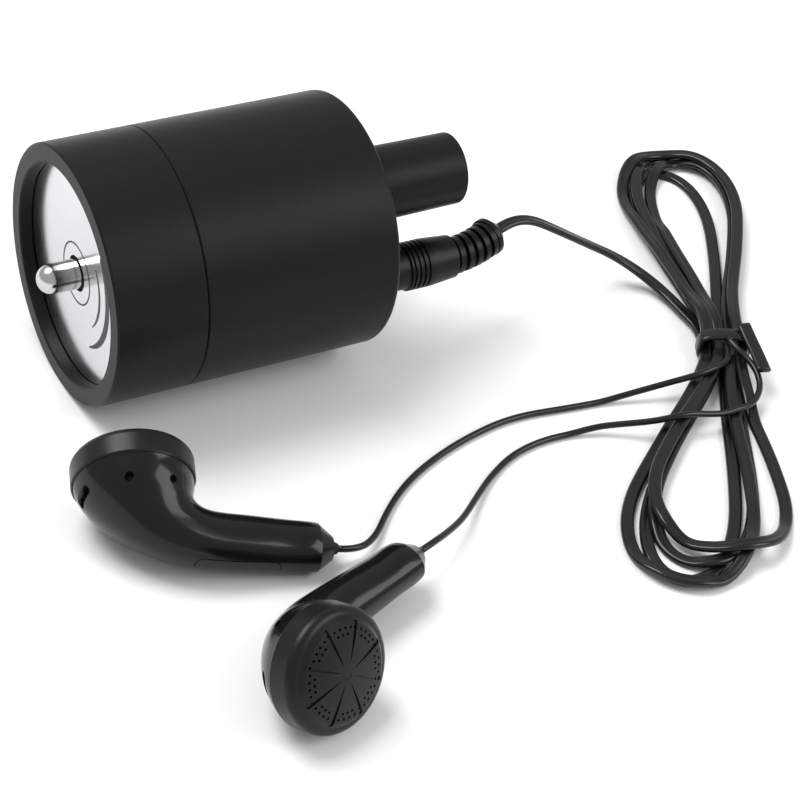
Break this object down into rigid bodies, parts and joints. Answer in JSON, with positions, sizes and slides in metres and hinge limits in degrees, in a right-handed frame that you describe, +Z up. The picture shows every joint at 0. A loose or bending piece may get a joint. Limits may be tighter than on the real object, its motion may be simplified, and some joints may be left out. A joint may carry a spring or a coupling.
{
  "type": "contact microphone listening amplifier",
  "caption": "Turned cylindrical pickup amplifier with a steel contact probe, volume knob and headphone jack, with wired earbuds on a tied lead.",
  "frame": {"origin": "on the bench, at the middle of the footprint of the housing and the two earbuds (the lead, its hank and the plug are left out of it)", "axes": "+Z up from the bench; +X along the housing's axis from the probe to the knob; the housing lies towards +Y, the earbuds towards -Y"},
  "size_m": [0.1433, 0.1023, 0.04],
  "materials": {
    "housing_black": "satin black turned finish",
    "knob_black": "satin black turned finish",
    "screw_black": "blackened steel",
    "rubber_black": "matt black",
    "bright_metal": "nickel plated",
    "moulded_black": "moulded, matt",
    "board_green": "solder resist",
    "brass": "plain",
    "capacitor_sleeve": "shrink sleeve",
    "cell_steel": "plated steel",
    "wire_red": "insulated wire",
    "label_silver": "bright silver plate with a dark printed ring and arc",
    "probe_steel": "polished stainless steel",
    "ceramic_white": "fired ceramic, silvered",
    "plug_black": "soft moulded PVC",
    "plug_gold": "gold plated",
    "cord_black": "smooth PVC twin lead",
    "bud_satin": "satin moulded",
    "bud_gloss": "polished moulding"
  },
  "bodies": {
    "housing": {"rear_housing": "housing_black", "seal_ring": "rubber_black", "pot_body": "bright_metal", "pot_nut": "bright_metal", "jack_socket": "moulded_black", "jack_nut": "bright_metal", "circuit_board": "board_green", "board_posts": "brass", "board_screws": "bright_metal", "amplifier_chip": "moulded_black", "capacitors": "capacitor_sleeve", "battery_holder": "moulded_black", "battery_cells": "cell_steel", "battery_contacts": "bright_metal", "sensor_wires": "wire_red"},
    "sensor": {"label_plate": "label_silver", "sensor_carrier": "moulded_black", "probe": "probe_steel", "probe_bush": "rubber_black", "support_ring": "moulded_black", "piezo_disc": "brass", "piezo_ceramic": "ceramic_white", "damping_ring": "rubber_black", "carrier_cover": "moulded_black"},
    "front_ring": {"front_ring": "housing_black", "retaining_ring": "bright_metal"},
    "volume_knob": {"volume_knob": "knob_black", "pot_shaft": "bright_metal", "knob_screw": "screw_black"},
    "earphones": {"plug_body": "plug_black", "plug_sleeve": "plug_gold", "plug_ring": "plug_gold", "plug_tip": "plug_gold", "plug_insulators": "moulded_black", "plug_relief": "plug_black", "lead_cord": "cord_black", "cord_hank": "cord_black", "left_lead": "cord_black", "right_lead": "cord_black", "left_bud_cap": "bud_satin", "left_bud_driver": "moulded_black", "left_bud_shell": "bud_gloss", "left_bud_stem_cover": "bud_gloss", "left_bud_inlay": "bud_gloss", "left_bud_grommet": "rubber_black", "right_bud_cap": "bud_satin", "right_bud_driver": "moulded_black", "right_bud_shell": "bud_gloss", "right_bud_stem_cover": "bud_gloss", "right_bud_inlay": "bud_gloss", "right_bud_grommet": "rubber_black"}
  },
  "joints": [
    {"name": "sensor_slide", "type": "slide", "parent": "housing", "child": "sensor", "axis": [-1, 0, 0], "range_m": [0, 0.0045]},
    {"name": "ring_turn", "type": "hinge", "parent": "sensor", "child": "front_ring", "pos_m": [-0.02587, 0.03115, 0.02], "axis": [-1, 0, 0], "range_deg": [0, 1080]},
    {"name": "knob_turn", "type": "hinge", "parent": "housing", "child": "volume_knob", "pos_m": [0.02043, 0.02765, 0.0278], "axis": [-1, 0, 0], "range_deg": [0, 300]},
    {"name": "plug_pull", "type": "slide", "parent": "housing", "child": "earphones", "axis": [1, 0, 0], "range_m": [0, 0.015]}
  ],
  "couplings": [
    {"joint": "sensor_slide", "follows": "ring_turn", "m_per_rad": 0.00023873}
  ]
}
